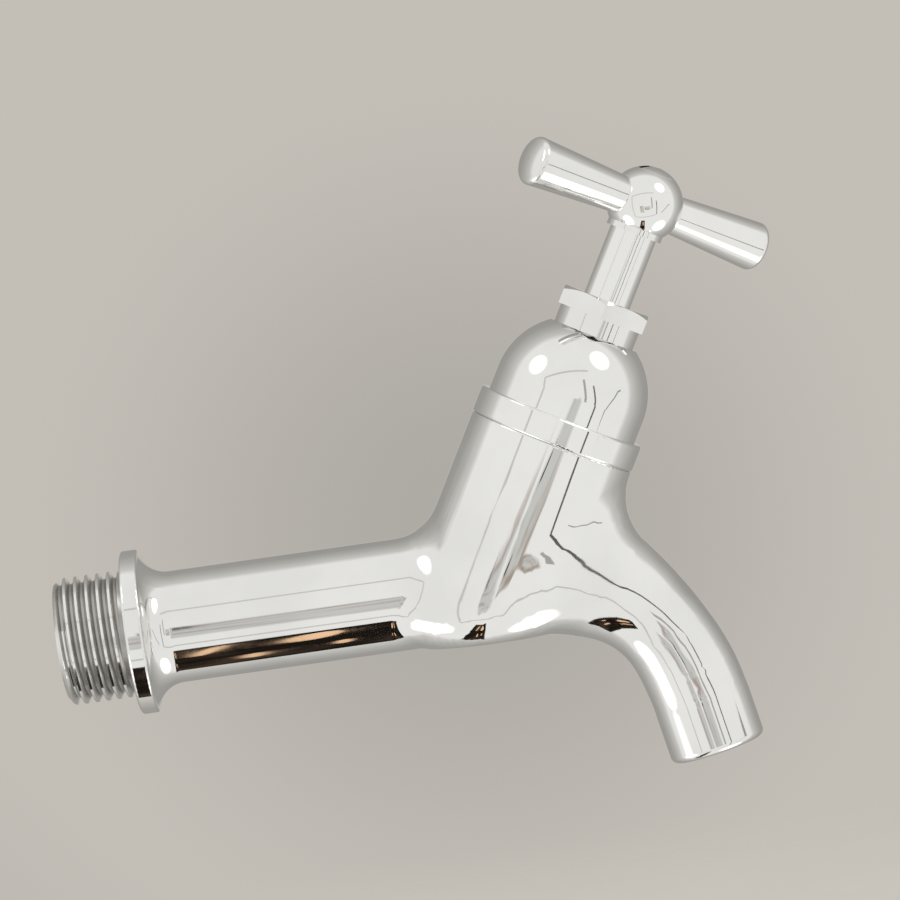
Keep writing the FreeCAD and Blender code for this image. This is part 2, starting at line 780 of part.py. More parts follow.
def handle_hub():
    """The ball on its short boss, with a square socket, flats for the arms and a sunk screw hole."""
    boss_join = f"({ball_centre} - sqrt(pow(ball_diameter / 2; 2) - pow(boss_diameter / 2; 2)))"
    body = turned_piece(
        "handle_hub",
        [
            ("0", ball_top),
            (None, boss_join, "0", ball_centre),
            ("boss_diameter / 2", hub_bottom),
            ("0", hub_bottom),
        ],
    )
    for label, turn in arm_turns.items():
        flat = arm_sketch(body, f"{label}_seat", turn)
        hole_end = "(arm_seat - arm_stud_length - thread_clearance)"
        spot = "(sqrt(pow(ball_diameter / 2; 2) - pow(arm_seat; 2)) + running_clearance)"
        draw_outline(
            flat,
            [
                (hole_end, "0"),
                (hole_end, "stud_diameter / 2"),
                ("arm_seat", "stud_diameter / 2"),
                ("arm_seat", spot),
                ("ball_diameter", spot),
                ("ball_diameter", "0"),
            ],
        )
        add_feature(body, "Groove", f"{label}_flat", flat, "H_Axis")
    socket = new_sketch(body, "hub_socket", "XY_Plane", {"z": hub_bottom}, (0, 0, 1), "handle_angle")
    draw_outline(socket, regular_corners("(tang_flats + 2 * running_clearance)", 4))
    add_prism(body, "Pocket", "socket", socket, "(tang_height + running_clearance)", reverse=True)
    sinking = new_sketch(body, "hub_screw_section", "XZ_Plane")
    hole = "(stud_diameter / 2 + running_clearance)"
    sink = "(screw_head / 2 + running_clearance)"
    draw_outline(
        sinking,
        [
            ("0", hub_bottom),
            (hole, hub_bottom),
            (hole, head_seat),
            (sink, head_seat),
            (sink, f"({ball_top} + screw_head)"),
            ("0", f"({ball_top} + screw_head)"),
        ],
    )
    add_feature(body, "Groove", "hub_screw_hole", sinking, "V_Axis")


def handle_arm(label, turn):
    """One arm of the T: it grows from its root to a crowned tip, and its stud screws into the ball."""
    body = new_body(label)
    section = arm_sketch(body, f"{label}_section", turn)
    stud = "(stud_diameter / 2 - thread_clearance)"
    crown_start = "(arm_reach - arm_crown)"
    crown_centre = "(arm_reach - (pow(arm_tip / 2; 2) + pow(arm_crown; 2)) / 2 / arm_crown)"
    draw_outline(
        section,
        [
            ("(arm_seat - arm_stud_length)", "0"),
            ("(arm_seat - arm_stud_length)", stud),
            ("arm_seat", stud),
            ("arm_seat", "arm_root / 2"),
            (crown_start, "arm_tip / 2"),
            (None, "0", crown_centre, "0"),
        ],
    )
    add_feature(body, "Revolution", f"{label}_turned", section, "H_Axis")
    tip = number("arm_tip / 2")

    def tip_edge(edge, shape):
        circle = circle_of(edge)
        return circle is not None and abs(circle.Radius - tip) < 0.01

    round_edges(body, f"{label}_rounding", "arm_edge", tip_edge)


def handle_screw():
    """A slotted screw through the ball into the spindle. Its raised head carries on the ball's round."""
    shank = "(stud_diameter / 2 - thread_clearance)"
    end = f"({hub_bottom} - screw_grip)"
    body = turned_piece(
        "handle_screw",
        [
            ("0", end),
            (shank, end),
            (shank, head_seat),
            ("screw_head / 2", head_seat),
            ("screw_head / 2", head_rim),
            ("0", None, "0", ball_centre),
        ],
    )
    slot = new_sketch(body, "screw_slot", "XY_Plane", {"z": ball_top}, (0, 0, 1), "handle_angle")
    half_slot = "slot_width / 2"
    draw_outline(
        slot,
        [
            ("-screw_head", f"-{half_slot}"),
            ("screw_head", f"-{half_slot}"),
            ("screw_head", half_slot),
            ("-screw_head", half_slot),
        ],
    )
    add_prism(body, "Pocket", "slot", slot, "slot_depth")


tap_body()
valve_seat()
bonnet_gasket()
bonnet()
stem_packing()
packing_washer()
gland_nut()
jumper_valve()
jumper_washer()
jumper_nut()
spindle()
handle_hub()
for arm_label, arm_turn in arm_turns.items():
    handle_arm(arm_label, arm_turn)
handle_screw()
doc.recompute()

failed = [item.Label for item in doc.Objects if "Invalid" in item.State or "Error" in item.State]
pieces = [item for item in doc.Objects if item.TypeId == "PartDesign::Body"]
for piece in pieces:
    if piece.Shape.isNull() or not piece.Shape.isValid() or len(piece.Shape.Solids) != 1:
        failed.append(piece.Label)
if failed:
    raise RuntimeError("not built: " + ", ".join(sorted(set(failed))))

os.makedirs("parts", exist_ok=True)
for piece in pieces:
    piece.Shape.exportStep(f"parts/{piece.Label}.step")
    print(piece.Label, round(piece.Shape.Volume, 1))
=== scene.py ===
import json
import math

import bmesh
import bpy
import numpy
from mathutils import Matrix, Vector


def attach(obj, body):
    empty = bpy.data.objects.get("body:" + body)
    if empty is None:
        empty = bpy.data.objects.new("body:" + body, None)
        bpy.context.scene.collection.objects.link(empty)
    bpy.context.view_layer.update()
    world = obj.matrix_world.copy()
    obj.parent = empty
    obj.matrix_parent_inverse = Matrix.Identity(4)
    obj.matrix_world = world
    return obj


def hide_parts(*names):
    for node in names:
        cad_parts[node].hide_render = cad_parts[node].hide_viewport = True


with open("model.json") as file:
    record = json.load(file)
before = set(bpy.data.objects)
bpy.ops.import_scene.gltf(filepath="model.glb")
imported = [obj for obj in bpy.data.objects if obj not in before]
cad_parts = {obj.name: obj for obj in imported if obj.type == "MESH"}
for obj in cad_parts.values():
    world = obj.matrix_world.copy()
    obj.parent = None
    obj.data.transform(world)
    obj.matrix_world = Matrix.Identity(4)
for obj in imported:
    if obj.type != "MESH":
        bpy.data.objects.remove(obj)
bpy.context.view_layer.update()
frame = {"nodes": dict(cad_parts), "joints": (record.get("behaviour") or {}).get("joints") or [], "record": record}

mm = 0.001
nodes = frame["nodes"]
joints = {joint["name"]: joint for joint in frame["joints"]}
mounts = {mount["name"]: mount for mount in frame["record"]["mounts"]}
stemAxis = Vector(joints["handle_turn"]["axis"]).normalized()
stemLean = math.atan2(stemAxis.x, stemAxis.z)
rimCentre = Vector(joints["handle_turn"]["pos_m"])
outlet = Vector(mounts["spout_end"]["pos_m"])
pour = Vector(mounts["spout_end"]["axis"]).normalized()
setCentre = Vector((58 * mm, 0.0, 10 * mm))
print("frame loaded:", len(nodes), "nodes")


# small helpers for the node trees

def feed(tree, node, sockets):
    for socket, value in sockets.items():
        if isinstance(value, bpy.types.NodeSocket):
            tree.links.new(value, node.inputs[socket])
        else:
            node.inputs[socket].default_value = value


def addNode(tree, kind, setup=None, sockets=None):
    node = tree.nodes.new(kind)
    for name, value in (setup or {}).items():
        setattr(node, name, value)
    feed(tree, node, sockets or {})
    return node


def sums(tree, operation, first, second=0.0):
    return addNode(tree, "ShaderNodeMath", {"operation": operation}, {0: first, 1: second}).outputs[0]


def spread(tree, value, span, low, high):
    # low to high across the span, with soft ends
    sockets = {"Value": value, "From Min": span[0], "From Max": span[1], "To Min": low, "To Max": high}
    node = addNode(tree, "ShaderNodeMapRange", {"interpolation_type": "SMOOTHSTEP"}, sockets)
    return node.outputs["Result"]


def blendColours(tree, factor, first, second):
    node = addNode(tree, "ShaderNodeMix", {"data_type": "RGBA"}, {0: factor, 6: first, 7: second})
    return node.outputs[2]


def noise(tree, vector, scale, detail, roughness):
    sockets = {"Vector": vector, "Scale": scale, "Detail": detail, "Roughness": roughness}
    return addNode(tree, "ShaderNodeTexNoise", None, sockets).outputs[0]


def bump(tree, height, strength, distance):
    sockets = {"Height": height, "Strength": strength, "Distance": distance}
    return addNode(tree, "ShaderNodeBump", None, sockets).outputs["Normal"]


def stretched(tree, vector, scale):
    return addNode(tree, "ShaderNodeMapping", None, {"Vector": vector, "Scale": scale}).outputs["Vector"]


def apart(tree, vector):
    return addNode(tree, "ShaderNodeSeparateXYZ", None, {0: vector}).outputs


def diagonal(tree, first, second):
    squares = [sums(tree, "MULTIPLY", part, part) for part in (first, second)]
    return sums(tree, "SQRT", sums(tree, "ADD", *squares))


def awayFrom(tree, vector, point):
    node = addNode(tree, "ShaderNodeVectorMath", {"operation": "DISTANCE"}, {0: vector, 1: point})
    return node.outputs["Value"]


def objectPlace(tree):
    return addNode(tree, "ShaderNodeTexCoord").outputs["Object"]


def startMaterial(name):
    material = bpy.data.materials.new(name)
    material.use_nodes = True
    tree = material.node_tree
    return material, tree, tree.nodes["Principled BSDF"], objectPlace(tree)


def alongStem(tree, place):
    # the same coordinates, stood up on the spindle's axis
    sockets = {"Vector": place, "Location": rimCentre, "Rotation": (0.0, stemLean, 0.0)}
    return addNode(tree, "ShaderNodeMapping", {"vector_type": "TEXTURE"}, sockets).outputs["Vector"]


def latheRings(tree, place, look):
    # faint rings round the spindle's axis, left by the lathe
    squeezed = stretched(tree, alongStem(tree, place), look["ringStretch"])
    return bump(tree, noise(tree, squeezed, *look["rings"]), *look["ringBump"])


# in the looks below, a noise is scale, detail and roughness, and a bump is strength and height in metres

# polished plate on the casting, the handle and the turned fittings
plate = {
    "tintLight": (0.90, 0.90, 0.89, 1.0),
    "tintDeep": (0.84, 0.84, 0.83, 1.0),
    "clouds": (55.0, 4.0, 0.55),
    "cloudSpan": (0.35, 0.7),
    "haze": (420.0, 2.0, 0.6),
    "hazeShare": 0.35,
    "roughSpan": (0.45, 0.95),
    "rough": (0.025, 0.075),
    "waves": (95.0, 1.0, 0.4),
    "waveBump": (0.25, 0.000012),
    "ringStretch": (30.0, 30.0, 2600.0),
    "rings": (1.0, 2.0, 0.6),
    "ringBump": (0.5, 0.0000015),
}


def makePlate(name, turned=False):
    material, tree, shader, place = startMaterial(name)
    clouds = noise(tree, place, *plate["clouds"])
    haze = noise(tree, place, *plate["haze"])
    mixed = sums(tree, "ADD", sums(tree, "MULTIPLY", haze, plate["hazeShare"]), clouds)
    deep = spread(tree, clouds, plate["cloudSpan"], 0.0, 1.0)
    if turned:
        surface = latheRings(tree, place, plate)
    else:
        surface = bump(tree, noise(tree, place, *plate["waves"]), *plate["waveBump"])
    feed(tree, shader, {
        "Base Color": blendColours(tree, deep, plate["tintLight"], plate["tintDeep"]),
        "Roughness": spread(tree, mixed, plate["roughSpan"], *plate["rough"]),
        "Metallic": 1.0,
        "Normal": surface,
    })
    return material


# thread: the plate thins to a dull, rougher root between the crests; the root's darker colour is painted shade in
# the grooves
threadFinish = {
    # the root colour is painted shade, the crest colour the plate's own
    "root": (0.46, 0.45, 0.43, 1.0),
    "crest": (0.88, 0.88, 0.87, 1.0),
    "radiusSpan": (9.3 * mm, 10.2 * mm),
    "roughRoot": 0.30,
    "roughCrest": 0.10,
    "rootShadeNoise": (600.0, 3.0, 0.6),
    "rootShadeNoiseDepth": 0.5 * mm,
    "markStretch": (4000.0, 250.0, 250.0),
    "marks": (1.0, 2.0, 0.5),
    "markBump": (0.4, 0.000004),
}


def makeThreadFinish():
    material, tree, shader, place = startMaterial("thread_plate")
    parts = apart(tree, place)
    radius = diagonal(tree, parts["Y"], parts["Z"])
    # painted shade: the colour darkens towards the thread's roots, and a noise jitters where the darkening starts
    rootShadeNoise = sums(tree, "SUBTRACT", noise(tree, place, *threadFinish["rootShadeNoise"]), 0.5)
    shifted = sums(tree, "ADD", radius, sums(tree, "MULTIPLY", rootShadeNoise, threadFinish["rootShadeNoiseDepth"]))
    height = spread(tree, shifted, threadFinish["radiusSpan"], 0.0, 1.0)
    cutMarks = noise(tree, stretched(tree, place, threadFinish["markStretch"]), *threadFinish["marks"])
    feed(tree, shader, {
        "Base Color": blendColours(tree, height, threadFinish["root"], threadFinish["crest"]),
        "Roughness": spread(tree, height, (0.0, 1.0), threadFinish["roughRoot"], threadFinish["roughCrest"]),
        "Metallic": 1.0,
        "Normal": bump(tree, cutMarks, *threadFinish["markBump"]),
    })
    return material


# bare brass: cast and a little stained inside the waterway, turned bright on the inner pieces
brassLook = {
    "bright": (0.74, 0.57, 0.29, 1.0),
    "stained": (0.45, 0.31, 0.15, 1.0),
    "patches": (180.0, 5.0, 0.6),
    "roughSpan": (0.3, 0.8),
    "castRough": (0.42, 0.60),
    "castSpan": (0.35, 0.75),
    "castStain": 1.0,
    "grain": (1600.0, 4.0, 0.65),
    "grainBump": (0.5, 0.00006),
    "turnedRough": (0.18, 0.36),
    "turnedSpan": (0.5, 0.75),
    "turnedStain": 0.6,
    "ringStretch": (60.0, 60.0, 3200.0),
    "rings": (1.0, 2.0, 0.5),
    "ringBump": (0.5, 0.000006),
}


def makeBrass(name, kind):
    material, tree, shader, place = startMaterial(name)
    patches = noise(tree, place, *brassLook["patches"])
    stain = spread(tree, patches, brassLook[kind + "Span"], 0.0, brassLook[kind + "Stain"])
    if kind == "cast":
        surface = bump(tree, noise(tree, place, *brassLook["grain"]), *brassLook["grainBump"])
    else:
        surface = latheRings(tree, place, brassLook)
    feed(tree, shader, {
        "Base Color": blendColours(tree, stain, brassLook["bright"], brassLook["stained"]),
        "Roughness": spread(tree, patches, brassLook["roughSpan"], *brassLook[kind + "Rough"]),
        "Metallic": 1.0,
        "Normal": surface,
    })
    return material


# stem: plated where it slides through the gland, bare brass from there down to the screw
stemFinish = {
    "plateSpan": (8.0 * mm, 8.6 * mm),
    "plated": (0.89, 0.89, 0.88, 1.0),
    "bare": (0.72, 0.55, 0.27, 1.0),
    "bareRough": 0.2,
    "wear": (380.0, 3.0, 0.6),
    "wearSpan": (0.35, 0.75),
    "rough": (0.05, 0.11),
    "ringStretch": (40.0, 40.0, 3000.0),
    "rings": (1.0, 2.0, 0.6),
    "ringBump": (0.5, 0.000003),
}


def makeStemFinish():
    material, tree, shader, place = startMaterial("stem_plate")
    height = apart(tree, alongStem(tree, place))["Z"]
    plated = spread(tree, height, stemFinish["plateSpan"], 0.0, 1.0)
    worn = spread(tree, noise(tree, place, *stemFinish["wear"]), stemFinish["wearSpan"], *stemFinish["rough"])
    dull = sums(tree, "MULTIPLY", sums(tree, "SUBTRACT", 1.0, plated), stemFinish["bareRough"])
    feed(tree, shader, {
        "Base Color": blendColours(tree, plated, stemFinish["bare"], stemFinish["plated"]),
        "Roughness": sums(tree, "ADD", worn, dull),
        "Metallic": 1.0,
        "Normal": latheRings(tree, place, stemFinish),
    })
    return material


# soft rings inside: pressed fibre, graphited packing, moulded rubber
softRings = {
    "pressed_fibre": {
        "dark": (0.30, 0.10, 0.06, 1.0),
        "pale": (0.42, 0.17, 0.10, 1.0),
        "flecks": (900.0, 4.0, 0.65),
        "rough": (0.70, 0.88),
        "fleckBump": (0.6, 0.00003),
    },
    "graphite_packing": {
        "dark": (0.035, 0.035, 0.037, 1.0),
        "pale": (0.09, 0.09, 0.09, 1.0),
        "flecks": (700.0, 4.0, 0.65),
        "rough": (0.54, 0.72),
        "fleckBump": (0.6, 0.00005),
    },
    "moulded_rubber": {
        "dark": (0.014, 0.014, 0.014, 1.0),
        "pale": (0.03, 0.03, 0.03, 1.0),
        "flecks": (1200.0, 4.0, 0.65),
        "rough": (0.47, 0.65),
        "fleckBump": (0.6, 0.00002),
    },
}
softTintSpan = (0.35, 0.7)
softRoughSpan = (0.3, 0.75)


def makeSoft(name):
    look = softRings[name]
    material, tree, shader, place = startMaterial(name)
    flecks = noise(tree, place, *look["flecks"])
    pale = spread(tree, flecks, softTintSpan, 0.0, 1.0)
    feed(tree, shader, {
        "Base Color": blendColours(tree, pale, look["dark"], look["pale"]),
        "Roughness": spread(tree, flecks, softRoughSpan, *look["rough"]),
        "Normal": bump(tree, flecks, *look["fleckBump"]),
    })
    return material


castPlate = makePlate("cast_plate")
turnedPlate = makePlate("turned_plate", turned=True)
threadPlate = makeThreadFinish()
turnedBrass = makeBrass("turned_brass", "turned")
castBrass = makeBrass("cast_brass", "cast")
finishes = {
    "tap_body": castPlate,
    "bonnet": turnedPlate,
    "gland_nut": turnedPlate,
    "handle_hub": castPlate,
    "handle_arm_front": castPlate,
    "handle_arm_back": castPlate,
    "handle_screw": turnedPlate,
    "spindle": makeStemFinish(),
    "valve_seat": turnedBrass,
    "jumper_valve": turnedBrass,
    "jumper_nut": turnedBrass,
    "packing_washer": turnedBrass,
    "bonnet_gasket": makeSoft("pressed_fibre"),
    "stem_packing": makeSoft("graphite_packing"),
    "jumper_washer": makeSoft("moulded_rubber"),
}
for nodeName, finish in finishes.items():
    slots = nodes[nodeName].data.materials
    slots.clear()
    slots.append(finish)
print("finishes:", len(finishes))


# the inlet's thread: half-inch pipe thread, 14 to the inch
thread = {
    "pitch": 1.814 * mm,
    "crest": 10.4775 * mm,
    "root": 9.32 * mm,
    "crestFlat": 0.22,      # shares of the pitch
    "rootFlat": 0.22,
    "softRun": 0.04,
    "softRise": 0.12,       # share of the depth
    "start": -11.5 * mm,
    "stop": -0.9 * mm,
    "before": 1.5,          # pitches wound before the start, cut off again
    "chamfer": 0.9 * mm,
    "stepsPerTurn": 96,
    "cutSlack": 1e-7,
}
weld = 0.002 * mm


def threadStrip():
    # one tooth of the thread, wound along the inlet
    bm = bmesh.new()
    pitch, crest, root = thread["pitch"], thread["crest"], thread["root"]
    soft = thread["softRise"] * (crest - root)
    run = thread["softRun"]
    rootEnd = thread["rootFlat"] / 2
    crestStart = 0.5 - thread["crestFlat"] / 2
    rise = [(0.0, root), (rootEnd, root), (rootEnd + run, root + soft), (crestStart - run, crest - soft),
            (crestStart, crest)]
    fall = [(1.0 - share, radius) for share, radius in reversed(rise)]
    first = thread["start"] - thread["before"] * pitch
    line = [bm.verts.new((first + share * pitch, 0.0, radius)) for share, radius in rise + fall]
    edges = [bm.edges.new(pair) for pair in zip(line, line[1:])]
    turns = math.ceil((thread["stop"] - first) / pitch) + 1
    steps = thread["stepsPerTurn"] * turns
    stepMove = Vector((pitch / thread["stepsPerTurn"], 0.0, 0.0))
    bmesh.ops.spin(bm, geom=line + edges, cent=(0.0, 0.0, 0.0), axis=(1.0, 0.0, 0.0), dvec=stepMove,
                   angle=math.tau * turns, steps=steps, use_merge=False)
    bmesh.ops.remove_doubles(bm, verts=bm.verts[:], dist=weld)
    for place, normal in ((thread["start"], -1.0), (thread["stop"], 1.0)):
        everything = bm.verts[:] + bm.edges[:] + bm.faces[:]
        bmesh.ops.bisect_plane(bm, geom=everything, dist=thread["cutSlack"], plane_co=(place, 0.0, 0.0),
                               plane_no=(normal, 0.0, 0.0), clear_outer=True)
    # the lead-in chamfer takes the first crests down
    for vert in bm.verts:
        radius = math.hypot(vert.co.y, vert.co.z)
        limit = crest - max(0.0, thread["start"] + thread["chamfer"] - vert.co.x)
        if radius > limit:
            vert.co.y *= limit / radius
            vert.co.z *= limit / radius
    strip = bpy.data.meshes.new("thread_strip")
    bm.to_mesh(strip)
    bm.free()
    return strip


# the waterway: where its three mouths are, and a stretch of the inlet's bore to start from
waterway = {
    "inletDepth": 0.6 * mm,
    "mouthSlack": 0.02 * mm,
    "boreEnd": 30 * mm,
    "boreReach": 6.7 * mm,
}


def waterwayFaces(bm):
    # everything inside the three mouths, found by walking in from the inlet's bore
    mouthLevel = max((vert.co - outlet).dot(pour) for vert in bm.verts)

    def atMouth(point):
        onInlet = point.x < thread["start"] + waterway["inletDepth"]
        onOutlet = (point - outlet).dot(pour) > mouthLevel - waterway["mouthSlack"]
        onRim = (point - rimCentre).dot(stemAxis) > -waterway["mouthSlack"]
        return onInlet or onOutlet or onRim

    def deepInBore(face):
        middle = face.calc_center_median()
        inStretch = 0.0 < middle.x < waterway["boreEnd"]
        return inStretch and math.hypot(middle.y, middle.z) < waterway["boreReach"]

    found = {face for face in bm.faces if deepInBore(face)}
    front = list(found)
    while front:
        face = front.pop()
        for edge in face.edges:
            if all(atMouth(vert.co) for vert in edge.verts):
                continue
            for neighbour in edge.link_faces:
                if neighbour not in found:
                    found.add(neighbour)
                    front.append(neighbour)
    return found


def zipRings(bm, firstEdges, secondEdges):
    # a band of triangles between two rings round the inlet's axis, led round by their angles
    def turn(vert):
        return math.atan2(vert.co.z, vert.co.y)

    def turnAt(ring, index):
        return turn(ring[index % len(ring)]) + math.tau * (index // len(ring))

    first, second = (sorted({vert for edge in edges for vert in edge.verts}, key=turn)
                     for edges in (firstEdges, secondEdges))
    i = 0
    j = 0
    while i < len(first) or j < len(second):
        here = first[i % len(first)]
        there = second[j % len(second)]
        if j >= len(second) or (i < len(first) and turnAt(first, i + 1) <= turnAt(second, j + 1)):
            i += 1
            bm.faces.new((here, first[i % len(first)], there))
        else:
            j += 1
            bm.faces.new((here, second[j % len(second)], there))


# polish: shading evened out on the blends between barrel, chamber and spout, as buffing does
polish = {
    "longest": 2.5 * mm,         # longer edges are halved
    "halvings": 5,
    "reach": 1.6 * mm,           # neighbours much further off hardly count
    "rounds": 30,
    "barrelEnd": 40 * mm,
    "rimMargin": 9 * mm,
    "spoutLimit": -19.4 * mm,    # along the pour, from the middle of the spout's plain end
}


def isPolished(point):
    offBarrel = point.x > polish["barrelEnd"]
    belowRim = (point - rimCentre).dot(stemAxis) < -polish["rimMargin"]
    aboveEnd = (point - outlet).dot(pour) < polish["spoutLimit"]
    return offBarrel and belowRim and aboveEnd


def cutLongFaces(bm):
    # long triangles are halved for the shading, and the new corners stay on their edges
    def onBlend(face):
        return face.material_index == plated and isPolished(face.calc_center_median())

    for _ in range(polish["halvings"]):
        tooLong = [edge for edge in bm.edges if edge.calc_length() > polish["longest"]]
        chosen = [edge for edge in tooLong if all(onBlend(face) for face in edge.link_faces)]
        for edge in sorted(chosen, key=lambda item: -item.calc_length()):
            sides = []
            for face in edge.link_faces:
                sides.append((face, next(vert for vert in face.verts if vert not in edge.verts)))
            middle = bmesh.utils.edge_split(edge, edge.verts[0], 0.5)[1]
            for face, corner in sides:
                bmesh.utils.face_split(face, middle, corner)


def smoothFans(mesh):
    # for each face corner, the one that stands for all corners it shares a normal with
    fan = list(range(len(mesh.loops)))

    def leader(index):
        while fan[index] != index:
            fan[index] = fan[fan[index]]
            index = fan[index]
        return index

    def cornerAt(face, vert):
        return face.loop_indices[list(face.vertices).index(vert)]

    sides = {}
    for face in mesh.polygons:
        for index in face.loop_indices:
            sides.setdefault(mesh.loops[index].edge_index, []).append(face)
    for edgeIndex, pair in sides.items():
        edge = mesh.edges[edgeIndex]
        if edge.use_edge_sharp or len(pair) != 2:
            continue
        for vert in edge.vertices:
            first, second = (leader(cornerAt(face, vert)) for face in pair)
            fan[first] = second
    return [leader(index) for index in range(len(fan))]


def evenShading(mesh):
    # large faces govern the normals, and on the blends near neighbours are averaged
    fans = smoothFans(mesh)
    normals = numpy.zeros((len(fans), 3))
    held = numpy.zeros(len(fans), dtype=bool)
    firsts = []
    seconds = []
    weights = []
    for face in mesh.polygons:
        corners = list(face.loop_indices)
        points = [mesh.vertices[index].co for index in face.vertices]
        onBlend = face.material_index == plated and isPolished(face.center)
        for turn, corner in enumerate(corners):
            following = (turn + 1) % len(corners)
            before = points[turn - 1] - points[turn]
            after = points[following] - points[turn]
            normals[fans[corner]] += numpy.array(face.normal) * face.area * before.angle(after, 0.0)
            if onBlend:
                firsts.append(fans[corner])
                seconds.append(fans[corners[following]])
                weights.append(math.exp(-(after.length / polish["reach"]) ** 2))
            else:
                held[fans[corner]] = True
    lengths = numpy.linalg.norm(normals, axis=1)
    lengths[lengths == 0.0] = 1.0
    normals /= lengths[:, None]
    weights = numpy.array(weights)[:, None]
    moving = numpy.unique(firsts)
    moving = moving[~held[moving]]
    for _ in range(polish["rounds"]):
        total = normals.copy()
        numpy.add.at(total, firsts, normals[seconds] * weights)
        numpy.add.at(total, seconds, normals[firsts] * weights)
        normals[moving] = total[moving] / numpy.linalg.norm(total[moving], axis=1)[:, None]
    mesh.normals_split_custom_set([tuple(normals[index]) for index in fans])
    print("shading evened at", len(moving), "of", len(set(fans)), "corners")


# the casting with its inlet thread cut
castingLimits = {
    "spigotEnd": -0.01 * mm,
    "spigotReach": 7.0 * mm,     # between the bore and the thread's root
    "ringSplit": -5 * mm,        # the rings at the tip lie before it, those at the flange after it
    "sharpFrom": math.radians(28),
}
plated, threaded, wetted = range(3)


def openRings(edges):
    # open edges at the tip and at the flange
    rims = [edge for edge in edges if edge.is_boundary]
    tip = [edge for edge in rims if edge.verts[0].co.x < castingLimits["ringSplit"]]
    neck = [edge for edge in rims if edge.verts[0].co.x > castingLimits["ringSplit"]]
    return tip, neck


def makeCasting():
    bm = bmesh.new()
    bm.from_mesh(nodes["tap_body"].data)
    bmesh.ops.remove_doubles(bm, verts=bm.verts[:], dist=weld)
    # the plain spigot makes way for the thread
    spigot = []
    for face in bm.faces:
        middle = face.calc_center_median()
        outside = math.hypot(middle.y, middle.z) > castingLimits["spigotReach"]
        if middle.x < castingLimits["spigotEnd"] and outside:
            spigot.append(face)
    bmesh.ops.delete(bm, geom=spigot, context="FACES")
    oldEdges = set(bm.edges)
    oldFaces = len(bm.faces)
    boreRim, neckRim = openRings(bm.edges)
    strip = threadStrip()
    bm.from_mesh(strip)
    bpy.data.meshes.remove(strip)
    tipLoop, shoulderLoop = openRings([edge for edge in bm.edges if edge not in oldEdges])
    zipRings(bm, boreRim, tipLoop)
    zipRings(bm, neckRim, shoulderLoop)
    bm.faces.ensure_lookup_table()
    for index in range(oldFaces, len(bm.faces)):
        bm.faces[index].material_index = threaded
    bmesh.ops.recalc_face_normals(bm, faces=bm.faces[:])
    for face in waterwayFaces(bm):
        face.material_index = wetted
    cutLongFaces(bm)
    for face in bm.faces:
        face.smooth = True
    for edge in bm.edges:
        edge.smooth = edge.calc_face_angle(0.0) < castingLimits["sharpFrom"]
    print("casting open edges:", sum(1 for edge in bm.edges if not edge.is_manifold),
          "waterway faces:", sum(1 for face in bm.faces if face.material_index == wetted))
    mesh = bpy.data.meshes.new("tap_casting")
    bm.to_mesh(mesh)
    bm.free()
    casting = bpy.data.objects.new("tap_casting", mesh)
    bpy.context.scene.collection.objects.link(casting)
    for finish in (castPlate, threadPlate, castBrass):
        mesh.materials.append(finish)
    evenShading(mesh)
    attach(casting, "tap")
    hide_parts("tap_body")
    return casting


casting = makeCasting()
print("casting:", len(casting.data.polygons), "faces")


# floor and surroundings
studio = {
    "floorHeight": -75 * mm,
    "floorRadius": 0.60,
    "floorSegments": 96,
    "floorColour": (0.74, 0.71, 0.66, 1.0),
    "floorPaler": 1.05,
    "floorGrain": (30.0, 4.0, 0.6),
    "floorRough": 0.8,
    "floorShine": 0.1,
    "floorFade": (0.10, 0.30),
    "white": (0.875, 0.87, 0.845, 1.0),
    "dusk": (0.62, 0.61, 0.585, 1.0),
    "halfShade": (0.48, 0.465, 0.44, 1.0),
    "shade": (0.37, 0.36, 0.34, 1.0),
    "deepShade": (0.33, 0.32, 0.305, 1.0),
    "backdrop": (0.545, 0.515, 0.47, 1.0),
    "stops": [(0.0, "white"), (0.52, "white"), (0.57, "dusk"), (0.655, "halfShade"), (0.755, "shade"),
              (0.91, "deepShade"), (0.952, "backdrop")],
    # painted shadow on the backdrop behind the tap: its colour and how far it spreads
    "hollow": (0.425, 0.405, 0.375, 1.0),
    "hollowSpan": (0.008, 0.085),
    "behind": (-0.033, 0.9980, -0.056),
}


def layFloor():
    bm = bmesh.new()
    centre = Matrix.Translation((setCentre.x, 0.0, studio["floorHeight"]))
    bmesh.ops.create_circle(bm, cap_ends=True, segments=studio["floorSegments"], radius=studio["floorRadius"],
                            matrix=centre)
    mesh = bpy.data.meshes.new("studio_floor")
    bm.to_mesh(mesh)
    bm.free()
    floor = bpy.data.objects.new("studio_floor", mesh)
    bpy.context.scene.collection.objects.link(floor)
    material, tree, shader, place = startMaterial("floor_paper")
    grain = noise(tree, place, *studio["floorGrain"])
    paler = tuple(min(1.0, part * studio["floorPaler"]) for part in studio["floorColour"][:3]) + (1.0,)
    # the paper thins out towards its rim so that no edge shows
    parts = apart(tree, place)
    reach = diagonal(tree, sums(tree, "SUBTRACT", parts["X"], setCentre.x), parts["Y"])
    feed(tree, shader, {
        "Base Color": blendColours(tree, grain, studio["floorColour"], paler),
        "Roughness": studio["floorRough"],
        "Specular IOR Level": studio["floorShine"],
        "Alpha": spread(tree, reach, studio["floorFade"], 1.0, 0.0),
    })
    mesh.materials.append(material)
    floor.visible_glossy = False


